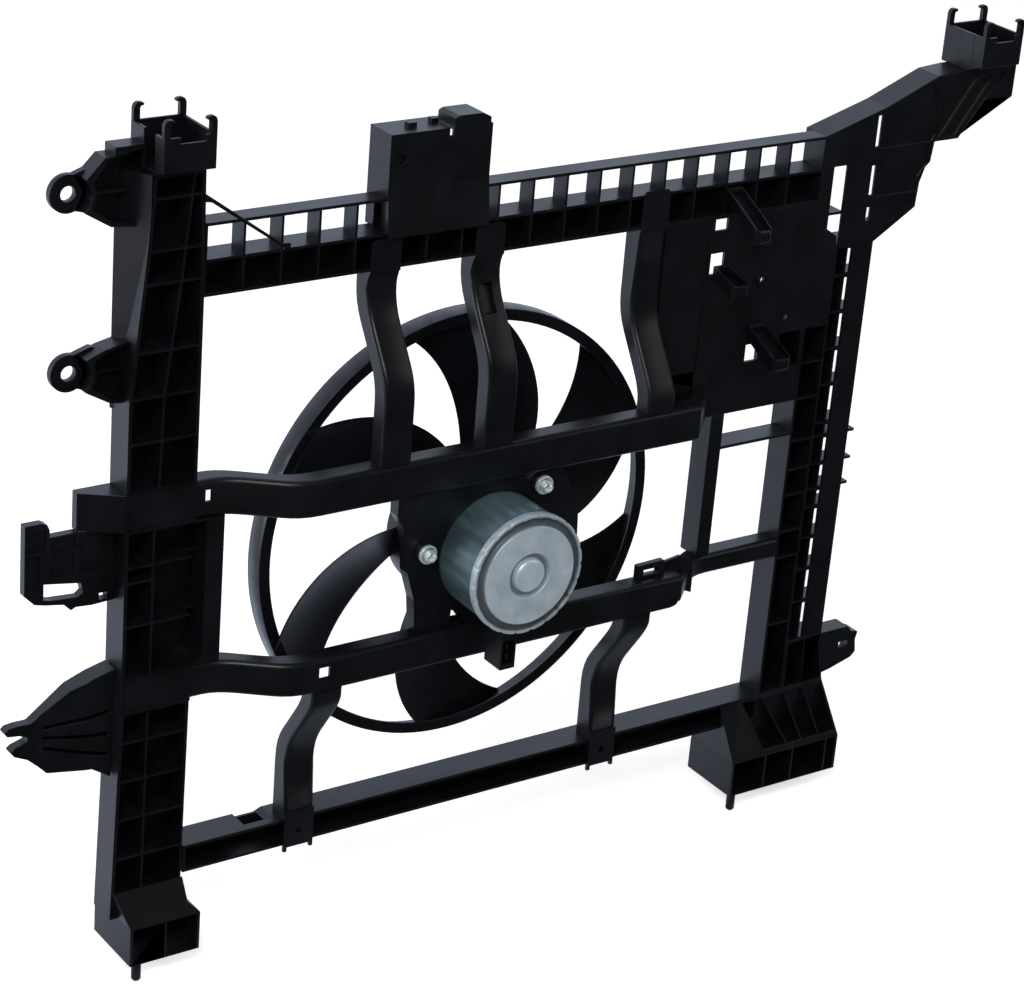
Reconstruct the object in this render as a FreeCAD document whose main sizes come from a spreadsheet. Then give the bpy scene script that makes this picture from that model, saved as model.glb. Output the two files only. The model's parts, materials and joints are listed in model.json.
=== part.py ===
import FreeCAD, Part
import math
import os

import Sketcher

# Radiator cooling fan: a ribbed plastic carrier with an electric motor and a fan wheel.
# The fan turns about Y. X runs to the right, Z up, and the side with the motor looks along -Y.
# The outlines are drawn about the fan's centre. The finished pieces are shifted so that the
# origin is the root of the left locating pin, on the left foot's underside.

doc = FreeCAD.newDocument("RadiatorCoolingFan")
sheet = doc.addObject("Spreadsheet::Sheet", "Sizes")
vector = FreeCAD.Vector
rowCount = 0
pieces = []
cuts = []


class Size(float):
    """A length that keeps the spreadsheet formula it comes from."""

    def __new__(cls, value, formula=None):
        number = float.__new__(cls, value)
        number.formula = formula or repr(round(float(value), 4))
        return number

    def __add__(self, other):
        return Size(float(self) + float(other), "(%s + %s)" % (self.formula, formulaOf(other)))

    def __radd__(self, other):
        return Size(float(self) + float(other), "(%s + %s)" % (formulaOf(other), self.formula))

    def __sub__(self, other):
        return Size(float(self) - float(other), "(%s - %s)" % (self.formula, formulaOf(other)))

    def __rsub__(self, other):
        return Size(float(other) - float(self), "(%s - %s)" % (formulaOf(other), self.formula))

    def __mul__(self, other):
        return Size(float(self) * float(other), "(%s * %s)" % (self.formula, formulaOf(other)))

    __rmul__ = __mul__

    def __neg__(self):
        return Size(-float(self), "(0 - %s)" % self.formula)


def formulaOf(value):
    return value.formula if isinstance(value, Size) else repr(round(float(value), 4))


def cell(alias, value):
    """Write one driving dimension into the spreadsheet and hand it back."""
    global rowCount
    rowCount += 1
    sheet.set("A%d" % rowCount, alias)
    sheet.set("B%d" % rowCount, str(value))
    sheet.setAlias("B%d" % rowCount, alias)
    return Size(value, "Sizes." + alias)


def bind(thing, prop, value):
    """Set a property, and tie it to the spreadsheet when the value comes from there."""
    if isinstance(value, Size):
        thing.setExpression(prop, value.formula)


# Where the fan's centre stands, seen from the root of the left locating pin
fanX = cell("fanX", 314)
fanY = cell("fanY", 38)
fanZ = cell("fanZ", 316)

# Planes across the depth: Y is less the nearer a face is to the motor's end cap
faceY = cell("faceY", -20)
backY = cell("backY", 8)
webY = cell("webY", -57)
footFrontY = cell("footFrontY", -42)
footBackY = cell("footBackY", 22)
towerFrontY = cell("towerFrontY", -38)
towerBackY = cell("towerBackY", 14)

# Plastic thicknesses
wall = cell("wallThick", 2.6)
rib = cell("ribThick", 2.2)
barDepth = cell("barDepth", 18)

# Carrier outline, about the fan's centre
postLeft = cell("postLeft", -325)
postInner = cell("postInner", -264)
railLow = cell("railLow", 250)
railHigh = cell("railHigh", 280)
railTop = cell("railTop", 309)
ribPitch = cell("ribPitch", 33)
sillTop = cell("sillTop", -229)
sillLow = cell("sillLow", -254)
columnLeft = cell("columnLeft", 335)
columnRight = cell("columnRight", 363)
stripOuter = cell("stripOuter", 403)
upperBarTop = cell("upperBarTop", 97)
upperBarLow = cell("upperBarLow", 65)
lowerBarTop = cell("lowerBarTop", -63)
lowerBarLow = cell("lowerBarLow", -93)
barStart = cell("barStart", -240)
barLevel = cell("barLevel", -190)
barEnd = cell("barEnd", 200)
spokeWidth = cell("spokeWidth", 28)
footTop = cell("footTop", -281)
footLow = cell("footLow", -316)
pinRadius = cell("pinRadius", 4)
pinTip = cell("pinTip", -332)

# Fan and motor
ringRadius = cell("ringRadius", 192.5)
ringBore = cell("ringBore", 190)
ringLip = cell("ringLip", 182.5)
ringDepth = cell("ringDepth", 19.6)
hubRadius = cell("hubRadius", 62)
shaftRadius = cell("shaftRadius", 4)
canRadius = cell("canRadius", 51.4)
canWall = cell("canWall", 2.2)
canBackY = cell("canBackY", -100)
canFrontY = cell("canFrontY", -32)
capRadius = cell("capRadius", 53.2)
capFaceY = cell("capFaceY", -104)
plateY = cell("plateY", -50)
plateDepth = cell("plateDepth", 12)
lugCircle = cell("lugCircle", 68)

bladeCount = 6
bendSteps = 4
bendReach = 17
screwAngles = (171, 50, 291)


def seat(thing, label):
    """Name a piece and shift it from the fan's centre to the part's origin."""
    thing.Label = label
    thing.Placement = FreeCAD.Placement(vector(fanX, fanY, fanZ), FreeCAD.Rotation())
    bind(thing, "Placement.Base.x", fanX)
    bind(thing, "Placement.Base.y", fanY)
    bind(thing, "Placement.Base.z", fanZ)
    pieces.append(thing)
    return thing


def newBody(label, seated=True):
    """A body of its own, or one that a group seats later together with others."""
    body = doc.addObject("PartDesign::Body", "Body_" + label)
    body.Label = label
    if seated:
        seat(body, label)
    return body


def group(label, members):
    """One node for like pieces that stay separate solids."""
    joined = doc.addObject("Part::Compound", "Group_" + label)
    joined.Links = members
    return seat(joined, label)


def originPlane(body, role):
    return [feature for feature in body.Origin.OriginFeatures if feature.Role == role][0]


def draw(body, role, level, loops):
    """Sketch closed loops on an origin plane moved along its normal by level.

    A loop is a list of corner points, or a tuple (u, v, radius) for a circle."""
    sketch = body.newObject("Sketcher::SketchObject", body.Label + "_sketch")
    sketch.AttachmentSupport = (originPlane(body, role), [""])
    sketch.MapMode = "FlatFace"
    sketch.AttachmentOffset = FreeCAD.Placement(vector(0, 0, float(level)), FreeCAD.Rotation())
    bind(sketch, "AttachmentOffset.Base.z", level)
    shapes = []
    rules = []
    formulas = []

    def place(geometry, position, point):
        for kind, value in zip(("DistanceX", "DistanceY"), point):
            formulas.append((len(rules), value))
            rules.append(Sketcher.Constraint(kind, -1, 1, geometry, position, float(value)))

    for loop in loops:
        first = len(shapes)
        if isinstance(loop, tuple):
            centre = vector(float(loop[0]), float(loop[1]), 0)
            shapes.append(Part.Circle(centre, vector(0, 0, 1), float(loop[2])))
            place(first, 3, loop[:2])
            formulas.append((len(rules), loop[2]))
            rules.append(Sketcher.Constraint("Radius", first, float(loop[2])))
            continue
        corners = [vector(float(point[0]), float(point[1]), 0) for point in loop]
        for index, corner in enumerate(corners):
            following = (index + 1) % len(corners)
            shapes.append(Part.LineSegment(corner, corners[following]))
            rules.append(Sketcher.Constraint("Coincident", first + index, 2, first + following, 1))
            place(first + index, 1, loop[index])
    sketch.addGeometry(shapes, False)
    sketch.addConstraint(rules)
    for index, value in formulas:
        bind(sketch, "Constraints[%d]" % index, value)
    return sketch


def pad(body, role, low, high, loops):
    """Extrude loops between two levels of an origin plane."""
    sketch = draw(body, role, low, loops)
    feature = body.newObject("PartDesign::Pad", body.Label + "_pad")
    feature.Profile = sketch
    feature.Length = float(high - low)
    bind(feature, "Length", high - low)
    return feature


def pocket(body, role, low, high, loops):
    """Cut loops away between two levels of an origin plane."""
    sketch = draw(body, role, high, loops)
    feature = body.newObject("PartDesign::Pocket", body.Label + "_pocket")
    feature.Profile = sketch
    feature.Length = float(high - low)
    bind(feature, "Length", high - low)
    cuts.append(feature)
    return feature


def front(y):
    """Level of an XZ sketch: its normal points towards the motor side, -Y."""
    return -y


def rectangle(left, low, right, high):
    return [(left, low), (right, low), (right, high), (left, high)]


def slab(label, outline, nearY, farY, seated=True):
    """A flat piece seen from the front, from its far face to its near face."""
    body = newBody(label, seated)
    pad(body, "XZ_Plane", front(farY), front(nearY), [outline])
    return body


def hollow(body, loops, nearY, farY):
    """Open pockets into the near face, down to farY."""
    return pocket(body, "XZ_Plane", front(farY), front(nearY), loops)


def onLine(points, height):
    """Where a line through (x, z) points, listed downwards, stands at a height."""
    for (xa, za), (xb, zb) in zip(points, points[1:]):
        if za >= height >= zb:
            return xa + (xb - xa) * (za - height) / (za - zb)
    return points[-1][0] if height < points[-1][1] else points[0][0]


def ribCells(lines, heights):
    """Four-sided cells between neighbouring upright lines and neighbouring rib heights."""
    half = rib * 0.5
    cells = []
    for high, low in zip(heights, heights[1:]):
        for left, right in zip(lines, lines[1:]):
            cells.append([
                (onLine(left, low) + half, low + half), (onLine(right, low) - half, low + half),
                (onLine(right, high) - half, high - half), (onLine(left, high) + half, high - half)])
    return cells


def eased(line, reach):
    """Round the bends of an open line: each inner corner becomes a short parabola."""
    smooth = [line[0]]
    for before, corner, after in zip(line, line[1:], line[2:]):
        ends = []
        for other in (before, after):
            length = math.hypot(other[0] - corner[0], other[1] - corner[1])
            share = min(reach / length, 0.5)
            ends.append([corner[k] + (other[k] - corner[k]) * share for k in (0, 1)])
        for step in range(bendSteps + 1):
            t = step / bendSteps
            smooth.append(tuple((1 - t) ** 2 * ends[0][k] + 2 * t * (1 - t) * corner[k] + t * t * ends[1][k]
                                for k in (0, 1)))
    return smooth + [line[-1]]


def bentBar(label, line, depth, near, far, role):
    """A channel whose front follows a line and whose back is open.

    The line holds (along, y) points; near and far are the levels of its two side walls."""
    body = newBody(label)
    smooth = eased(line, bendReach)

    def band(frontShift, backShift):
        ahead = [(along, y + frontShift) for along, y in smooth]
        behind = [(along, y + depth + backShift) for along, y in reversed(smooth)]
        loop = ahead + behind
        return loop if role == "XY_Plane" else [(y, along) for along, y in loop]

    pad(body, role, near, far, [band(0, 0)])
    pocket(body, role, near + wall, far - wall, [band(wall, 4)])
    return body


def turned(label, loops, cutLoops=()):
    """A piece turned about the fan's axis from (radius, y) outlines."""
    body = newBody(label)
    sketch = draw(body, "XY_Plane", 0, loops)
    feature = body.newObject("PartDesign::Revolution", label + "_revolution")
    feature.Profile = sketch
    feature.ReferenceAxis = (sketch, ["V_Axis"])
    feature.Angle = 360
    for loop in cutLoops:
        sketch = draw(body, "XY_Plane", 0, [loop])
        groove = body.newObject("PartDesign::Groove", label + "_groove")
        groove.Profile = sketch
        groove.ReferenceAxis = (sketch, ["V_Axis"])
        groove.Angle = 360
        cuts.append(groove)
    return body


# Left post: an open channel with a grid of ribs, wider between the crossbars
postEdge = [(-309, 352), (-313, 292), (-325, 175), (-325, -100), (-330, -281)]
leanRib = [(-275, 352), (-284, 262), (-295, 175), (-297, 97)]
innerEdge = [(-266, 352), (-264, 250), (-264, -281)]
bulge = -238
collarRise = 1.6
leftPost = slab("left_post", postEdge + [
    (-266, -281), (postInner, lowerBarLow), (postInner, lowerBarTop), (bulge, lowerBarTop),
    (bulge, upperBarLow), (postInner, upperBarLow), (postInner, railLow), (-266, 352)], faceY, backY)
# Beside the ears the post's left wall leans out towards the back
flareTop = 352
flareLow = 160
flareEdge = -311
flareOut = -327
pad(leftPost, "XY_Plane", flareLow, flareTop, [[(flareEdge, faceY), (flareEdge, backY), (flareOut, backY)]])
edgeIn = [(x + 2, z) for x, z in postEdge]
upperHeights = [350, 333, 292, 266, 212, 175, 138, 98]
hollow(leftPost, ribCells([edgeIn, leanRib, [(x - 2, z) for x, z in innerEdge]],
                          upperHeights), faceY, backY - wall)
hollow(leftPost, ribCells([edgeIn, [(-300, 64), (-300, -62)]], [64, 34, 21, -17, -62]), faceY, backY - wall)
frameRight = -254
frameCorner = 9
hollow(leftPost, [[(-299, 63), (-299, 35), (frameRight, 35), (frameRight, 63)],
                  [(-299, 33), (-299, -16), (frameRight, -16), (frameRight, 33)],
                  [(-299, -18), (-299, -61), (frameRight - frameCorner, -61), (frameRight - 3, -58),
                   (frameRight, -61 + frameCorner), (frameRight, -18)]], faceY, backY - wall)
hollow(leftPost, [rectangle(-266, -50, frameRight - 0.5, 60)], faceY, faceY + 12)
hollow(leftPost, ribCells([edgeIn, [(-301, -94), (-302, -260)], [(x - 2, z) for x, z in innerEdge]],
                          [-94, -120, -155, -190, -226, -262]), faceY, backY - wall)
for barLow, barTop in ((upperBarLow, upperBarTop), (lowerBarLow, lowerBarTop)):
    collar = rectangle(postLeft + 3, barLow + wall, postInner - wall, barTop - wall)
    hollow(leftPost, [collar], faceY + wall, backY)
    pad(leftPost, "XZ_Plane", front(faceY), front(faceY - collarRise),
        [rectangle(postLeft + 3, barLow, postInner, barTop)])
    hollow(leftPost, [rectangle(postLeft + 3, barLow + rib, postInner, barTop - rib)],
           faceY - collarRise, faceY - collarRise + 0.8)

# Right post: the same channel, narrower, with two openings under the top rail
rightPost = slab("right_post", rectangle(columnLeft, sillTop, columnRight, railTop), faceY, backY)
columnEdges = [[(columnLeft + 1.5, 309), (columnLeft + 1.5, -229)],
               [(columnRight - 1.5, 309), (columnRight - 1.5, -229)]]
hollow(rightPost, ribCells(columnEdges, [134, 100, 66, 25, -3, -28, -64, -90, -158, -228]),
       faceY, backY - wall)
windowLeft = 348
windowSill = 236
hollow(rightPost, [rectangle(windowLeft - 8, 207, columnRight, windowSill),
                   rectangle(windowLeft - 8, windowSill + wall, columnRight, 283)], faceY + wall, backY)
hollow(rightPost, [[(windowLeft, 224), (360, 216), (361, 207), (columnRight, 207), (columnRight, windowSill),
                    (windowLeft, windowSill)],
                   rectangle(windowLeft, windowSill + wall, columnRight, 280)], faceY, faceY + wall)

# Ladder strip down the right edge, open from front to back, with three short fins
stripTop = 205
stripLow = -180
ribStrip = slab("right_rib_strip", rectangle(columnRight, stripLow, stripOuter, stripTop), faceY, 0)
webHeights = [stripTop, 178, 144, 109, 75, 38, 25, -2, -27, -45, -75, -107, -140, stripLow]
slotLeft = 375
slotRight = 380
channelCells = []
slotCells = []
backCells = []
for high, low in zip(webHeights, webHeights[1:]):
    channelCells.append(rectangle(columnRight + 0.4, low + 1.2, slotLeft - rib, high - 1.2))
    slotCells.append(rectangle(slotLeft, low + 2.4, slotRight, high - 2.4))
    backCells.append(rectangle(slotRight, low + 1.2, stripOuter - rib, high - 1.2))
hollow(ribStrip, channelCells, faceY, -rib)
hollow(ribStrip, slotCells, faceY, 0)
hollow(ribStrip, backCells, faceY + wall, 0)
finLoops = [rectangle(stripOuter - 1, height - 1.2, stripOuter + 7, height + 1.2)
            for height in (25, -2, -27)]
pad(ribStrip, "XZ_Plane", front(-8), front(faceY), finLoops)

# Top rail: a ribbed band with a ladder of openings and a top flange above it
railStart = -264
topRail = slab("top_rail", rectangle(postInner, railLow, columnLeft, railHigh), faceY, backY - 2)
railRibs = [railStart + ribPitch * number for number in range(1, 19)]
bandCells = []
windowCells = []
edges = [postInner + 0.2] + railRibs
for left, right in zip(edges, railRibs[:-1] + [columnLeft - 0.2]):
    bandCells.append(rectangle(left + rib * 0.5, railLow + wall, right - rib * 0.5, railHigh - wall))
    windowCells.append(rectangle(left + rib * 0.5, railHigh, right - rib * 0.5, railTop - wall))
hollow(topRail, bandCells, faceY, backY - 2 - wall)
pad(topRail, "XZ_Plane", 2, front(faceY), [rectangle(postInner, railHigh, columnLeft, railTop)])
hollow(topRail, windowCells, faceY, -2)

# Bottom rail: a plain open channel between the posts
bottomRail = slab("bottom_rail", rectangle(postInner, sillLow, columnLeft, sillTop), faceY, backY)
hollow(bottomRail, [rectangle(postInner + wall, sillLow + wall, columnLeft - wall, sillTop - wall)],
       faceY, backY - wall)

pocket(bottomRail, "XZ_Plane", front(backY), front(faceY + 8),
       [[(-203, sillTop), (-203, sillTop - wall - 0.4), (-183, sillTop - wall - 0.4), (-176, sillTop)]])

# Crossbars step forwards from the left post to clear the fan
upperBar = bentBar("upper_crossbar",
                   [(postInner, faceY), (barStart, faceY), (barLevel, webY), (barEnd, webY)],
                   barDepth, upperBarLow, upperBarTop, "XY_Plane")
hollow(upperBar, [rectangle(-256, 79, -239, 89)], faceY, backY)
lowerBar = bentBar("lower_crossbar",
                   [(postInner, faceY), (barStart, faceY), (barLevel, webY), (barEnd, webY)],
                   barDepth, lowerBarLow, lowerBarTop, "XY_Plane")
hollow(lowerBar, [rectangle(-166, -80, -156, -70)], webY, webY + barDepth)
hollow(lowerBar, [[(barEnd + 1, -76), (barEnd, -82), (barEnd - 4, -89), (barEnd - 12, lowerBarLow),
                   (barEnd - 12, lowerBarLow - 1), (barEnd + 1, lowerBarLow - 1)]], webY, webY + barDepth)

# Spokes step forwards from the top rail, whose band they lap, to the upper crossbar
lapRise = 1.2
for label, left, bendTop, bendLow, lapTop in (("upper_spoke_left", -118, 220, 165, 276),
                                              ("upper_spoke_middle", -20, 222, 165, 276),
                                              ("upper_spoke_right", 144, 172, 115, 283)):
    line = [(railLow, faceY), (bendTop, faceY), (bendLow, webY), (upperBarTop, webY)]
    spoke = bentBar(label, line, barDepth, left, left + spokeWidth, "YZ_Plane")
    pad(spoke, "XZ_Plane", front(faceY), front(faceY - lapRise), [[
        (left, railLow - 2), (left + spokeWidth, railLow - 2), (left + spokeWidth, lapTop - 3),
        (left + spokeWidth - 3, lapTop), (left + 3, lapTop), (left, lapTop - 3)]])
    if label == "upper_spoke_middle":
        hollow(spoke, [rectangle(left + 6, 203, left + 18, 226)], faceY - 30, faceY + wall)

# Spokes step back from the lower crossbar to the bottom rail and lap its front face
for label, left in (("lower_spoke_left", -170), ("lower_spoke_right", 142)):
    line = [(lowerBarLow, webY), (-106, webY), (-160, faceY), (sillTop, faceY)]
    spoke = bentBar(label, line, barDepth, left, left + spokeWidth, "YZ_Plane")
    pad(spoke, "XZ_Plane", front(faceY), front(faceY - 3),
        [[(left, sillLow - 5), (left + 3, sillLow - 5), (left + 3, sillLow - 1),
          (left + spokeWidth - 3, sillLow - 1), (left + spokeWidth - 3, sillLow - 5),
          (left + spokeWidth, sillLow - 5), (left + spokeWidth, sillTop + 8), (left, sillTop + 8)]])
    hollow(spoke, [(left + spokeWidth * 0.5, -241, 2.6)], faceY - 3, faceY)

# Tie from the lower crossbar's end back to the right post, with a clip loop on the joint
bentBar("lower_tie", [(barEnd, webY), (barEnd + 40, faceY), (columnLeft, faceY)],
        barDepth, -89, -70, "XY_Plane")
clipLoop = slab("clip_loop", [(158, lowerBarTop), (188, lowerBarTop), (186, -49), (158, -50)], -46, -40)
hollow(clipLoop, [rectangle(165, -60, 180, -55)], -46, -40)
rightStay = slab("right_stay", [(243, -70), (257, -70), (257, 32), (columnLeft, 32), (columnLeft, 35),
                                (257, 35), (257, 66), (243, 66)], faceY, 4)
hollow(rightStay, [rectangle(243 + rib, -70 + wall, 257 - rib, 66 - wall)], faceY + wall, 4)

# Bracket that carries the upper crossbar's end to the module plate
upperBracket = bentBar("upper_bracket", [(barEnd, webY), (barEnd + 37, faceY)],
                       barDepth, upperBarLow + 1, upperBarTop - 1, "XY_Plane")
hollow(upperBracket, [rectangle(barEnd - 2, upperBarLow, barEnd + 40, upperBarTop)], faceY, backY)

# Module plate: flat panel with square openings, a ribbed box at its corner and three hooks
plateBack = faceY + 3
plateLeft = 172
modulePlate = slab("module_plate", [
    (plateLeft, railLow), (columnLeft, railLow), (columnLeft, 66), (216, 66), (216, 98), (plateLeft, 112)],
    faceY, plateBack)
hollow(modulePlate, [
    rectangle(224, 238, 237.4, railLow - 1.5), rectangle(222.5, 199, 237, 218),
    [(272, 112), (286, 112), (286, 124), (282, 128), (272, 128)],
    (281, 187, 2.6), (313, 148, 2.2)], faceY, plateBack)
pad(modulePlate, "XZ_Plane", front(faceY), front(faceY - 3), [(281, 187, 6)])
hollow(modulePlate, [(281, 187, 4)], faceY - 3, faceY)
hollow(modulePlate, [rectangle(plateLeft + 2, 112, 219, railLow - 4)], faceY, faceY + 0.8)
pad(modulePlate, "XZ_Plane", front(backY), front(plateBack), [rectangle(306, 98, columnLeft, 136)])
hollow(modulePlate, [rectangle(308.5, 101, columnLeft - wall, 133)], faceY, backY - wall)
hooks = []
hookHeight = 12
for number, (left, width, root, tipDrop, reach) in enumerate(((231, 17, 276, 25, 48), (226, 17, 207, 9, 32),
                                                              (271, 19, 147, 19, 42)), 1):
    hook = newBody("hook_%d" % number, False)
    tipY = faceY - reach
    tip = root - tipDrop
    right = left + width
    pad(hook, "YZ_Plane", left, right, [[
        (faceY, root), (faceY, root - hookHeight), (tipY + 4, tip - hookHeight), (tipY, tip - hookHeight + 4),
        (tipY, tip)]])
    pocket(hook, "YZ_Plane", left + rib, right - rib, [[
        (faceY - wall, root + 1), (faceY - wall, root - hookHeight + 4),
        (tipY + wall, tip - hookHeight + 5), (tipY + wall, tip + 2)]])
    pocket(hook, "XY_Plane", tip - hookHeight - 2, root + 1, [
        [(left - 1, tipY - 1), (left + 5, tipY - 1), (left - 1, tipY + 5)],
        [(right + 1, tipY - 1), (right - 5, tipY - 1), (right + 1, tipY + 5)]])
    hooks.append(hook)
group("module_hooks", hooks)

# Latch housing on top of the rail, its lower apron sloping out over the band
latch = newBody("latch_housing")
latchLeft = -106
latchRight = -12
latchTop = 360
latchFold = 316
pad(latch, "YZ_Plane", latchLeft, latchRight, [[
    (faceY, 277), (faceY, railTop), (10, railTop), (10, latchTop), (faceY - 1, latchTop),
    (faceY - 1, latchFold), (faceY - 6, 277)]])
pocket(latch, "YZ_Plane", latchLeft + wall, latchRight - wall, [[
    (faceY + 2, railTop + wall), (12, railTop + wall), (12, latchTop - wall), (faceY + 2, latchTop - wall)]])
pad(latch, "YZ_Plane", latchLeft, latchLeft + 8, [rectangle(-2, railHigh, 10, railTop)])
pad(latch, "XZ_Plane", front(4), front(faceY - 1), [
    [(-48, latchTop - 1), (-14, latchTop - 1), (-14, 365), (-22, 369), (-44, 369), (-48, 367)]])
pad(latch, "XY_Plane", latchTop, latchTop + 4, [rectangle(-84, -10, -76, -4), rectangle(-60, -6, -54, 0)])
hollow(latch, [rectangle(-52, 353, -48.6, latchTop + 1)], faceY - 2, 4)
hollow(latch, [(-95, 339, 4)], faceY - 1, faceY + 2)

# Diagonal brace across the corner of the left post and the top rail, on their front faces
slab("diagonal_brace", [(-268, 334), (-268, 327), (-262, 326), (-197, 281), (-192, 281), (-192, 285),
                        (-200, 286)], faceY - 3.4, faceY)


def foot(label, outline, nose, heel, ribLines, sillRight):
    """A hollow pedestal: the front outline cut to its side profile, with ribs in its open face."""
    body = slab(label, outline, footFrontY, footBackY)
    top = outline[0][1] + 2
    left = min(float(x) for x, z in outline) - 2
    right = max(float(x) for x, z in outline) + 2
    pocket(body, "YZ_Plane", left, right, [
        [(footFrontY - 2, footTop), (footFrontY, footTop), (faceY, nose), (faceY, top),
         (footFrontY - 2, top)],
        [(backY, top), (backY, heel), (footBackY, footTop - 4), (footBackY + 2, footTop - 4),
         (footBackY + 2, top)]])
    if sillRight is not None:
        hollow(body, [rectangle(left, sillLow, sillRight, top)], faceY, backY)
    hollow(body, ribCells(ribLines, [footTop, footLow]), footFrontY, footBackY - wall)
    return body


# Feet: pedestals wider than the posts, standing forward, each with a locating pin
leftFoot = foot("left_foot",
                [(-264, -257), (-266, -273), (-258, footTop), (-258, footLow), (-322, footLow),
                 (-322, footTop), (-328, -257)],
                -257, -281, [[(-320.5, -281), (-320.5, -316)], [(-290, -281), (-290, -316)],
                             [(-259.5, -281), (-259.5, -316)]], None)
hollow(leftFoot, [rectangle(-332, footTop, -256, -250)], faceY, backY + 1)
rightFoot = foot("right_foot",
                 [(403, stripLow), (411, -229), (421, footTop), (421, footLow), (296, footLow),
                  (296, footTop), (290, sillTop), (363, sillTop), (363, stripLow)],
                 sillTop, sillLow, [[(297.5, -281), (297.5, -316)], [(335, -281), (335, -316)],
                                    [(367, -281), (367, -316)], [(407, -281), (407, -316)],
                                    [(419.5, -281), (419.5, -316)]], columnLeft)
hollow(rightFoot, ribCells([[(314, -229), (333, -279)], [(338, -229), (361, -279)],
                            [(364.5, -229), (378, -279)], [(387, -229), (399, -279)],
                            [(409.5, -229), (419, -279)]], [-232, -277]), footFrontY, faceY)
hollow(rightFoot, ribCells([[(364.5, -182), (364.5, -230)], [(384, -182), (387, -229)],
                            [(401.5, -182), (409.5, -229)]], [-182, -229]), faceY - 12, backY - wall)
for label, pinX in (("left_locating_pin", -314), ("right_locating_pin", 301.5)):
    pin = newBody(label)
    pinY = Size(-38)
    pad(pin, "XY_Plane", pinTip + 1.5, footLow, [(pinX, pinY, pinRadius)])
    pad(pin, "XY_Plane", pinTip, pinTip + 1.5, [(pinX, pinY, pinRadius - 1.2)])

# Towers: open boxes with four hooked fingers and a tall slot in the outer wall
towerFloor = 352
towerTop = 385
fingerWidth = 5.5
fingerProfile = [(0, 0), (0, 10), (1.2, 12.8), (3.6, 14), (7.6, 13.6), (9, 12), (8.4, 11), (6.4, 11),
                 (fingerWidth, 9.6), (fingerWidth, 0)]
for label, left, right in (("left_tower", -312, -268), ("right_tower", 486, 530)):
    tower = newBody(label)
    pad(tower, "XY_Plane", towerFloor, towerTop,
        [rectangle(left, towerFrontY, right, towerBackY)])
    pocket(tower, "XY_Plane", towerFloor + wall, towerTop,
           [rectangle(left + wall, towerFrontY + wall, right - wall, towerBackY - wall)])
    pocket(tower, "YZ_Plane", left, left + wall,
           [[(faceY - 4, 356), (faceY + 13, 356), (faceY + 13, towerTop), (faceY - 4, towerTop)]])
    pocket(tower, "YZ_Plane", left, right, [
        [(towerFrontY, towerFloor), (faceY, towerFloor), (towerFrontY + wall, 358), (towerFrontY, 358)]])
    for y in (towerFrontY, towerBackY - 4.5):
        for x, turn in ((left, 1), (right, -1)):
            pad(tower, "XZ_Plane", front(y + 4.5), front(y),
                [[(x + turn * along, towerTop + up) for along, up in fingerProfile]])
    pocket(tower, "XZ_Plane", front(towerFrontY + wall), front(towerFrontY),
           [rectangle(left + 14, towerTop - 5, right - 9, towerTop + 1)])

# Right arm: the ribbed wing that carries the right tower
armOutline = [(335, railTop), (345, 312), (400, 328), (455, 350), (480, 352), (545, 352), (545, 322),
              (513, 322), (487, 290), (460, 290), (458, 272), (449, 264), (447, 232), (403, 205),
              (363, 205), (363, railTop)]
rightArm = slab("right_arm", armOutline, faceY, backY)
armInside = [(364, 208), (402.5, 208), (444.5, 233.5), (446.5, 265.5), (455.5, 273), (457.5, 292.6),
             (486, 292.6), (512, 324.6), (542, 324.6), (542, 349.4), (479, 349.4), (454, 347.3),
             (400, 325.4), (366, 313.4), (366, 284), (364, 284)]
hollow(rightArm, [armInside], faceY + wall, backY)
hollow(rightArm, [rectangle(columnRight, 208, 365, 284)], faceY + wall, backY)
hollow(rightArm, [rectangle(391, 226, 395, 238), rectangle(391, 249, 395.5, 276),
                  rectangle(391.5, 293, 396, 321)], faceY, faceY + wall)
hollow(rightArm, [[(399, 247), (445, 247), (445, 260), (453, 270), (453, 288), (399, 288)],
                  [(399, 210), (441, 235), (442, 244), (399, 244)],
                  [(399, 291), (455, 291), (462, 300), (452, 344), (399, 323)]], faceY, faceY + 1)
hollow(rightArm, [[(460, 293), (464, 293), (501, 345), (497, 348), (463, 348), (456, 344)],
                  [(469, 293), (482, 293), (519, 345), (505, 345)],
                  [(487, 294), (489, 294), (513, 323), (534, 345), (523, 345)]], faceY, faceY + wall - 0.6)

# Ears on the left post: a thin ring eye at the back of a hollow arm
eyeNear = 2
eyeRadius = 15
eyeBore = 6.2
earNear = -9


def ear(label, x, z, top, low, extra):
    """One ear, its root cut to the post's leaning wall."""
    body = newBody(label)
    root = -309
    pad(body, "XZ_Plane", front(backY), front(eyeNear), [(x, z, eyeRadius)])
    pad(body, "XZ_Plane", front(backY), front(earNear), [
        extra + [(x + 24, top - 7), (x + 9, z + 13), (x + 13, z + 7), (x + 15, z), (x + 13, z - 8),
                 (x + 9, z - 13), (x + 30, low + 3), (root, low), (root, top)]])
    hollow(body, [[(root, top - wall), (x + 28, top - wall - 6), (x + 15.5, z + 11), (x + 17.5, z + 4),
                   (x + 17.5, z - 5), (x + 15, z - 11), (x + 32, low + 3 + wall), (root, low + wall)]],
           earNear, backY - wall)
    hollow(body, [(x, z, eyeBore)], eyeNear, backY)
    pad(body, "XZ_Plane", front(backY - wall), front(earNear + 5), [
        rectangle(x + 17, z - rib * 0.5, root, z + rib * 0.5)])
    pocket(body, "XZ_Plane", front(backY), front(earNear), [
        postEdge[:3] + [(postLeft, flareLow), (-300, flareLow), (-300, 375), (-312, 375), (-312, flareTop)]])
    pocket(body, "XY_Plane", flareLow, flareTop, [
        [(flareEdge, faceY), (-300, faceY), (-300, backY), (flareOut, backY)]])


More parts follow.
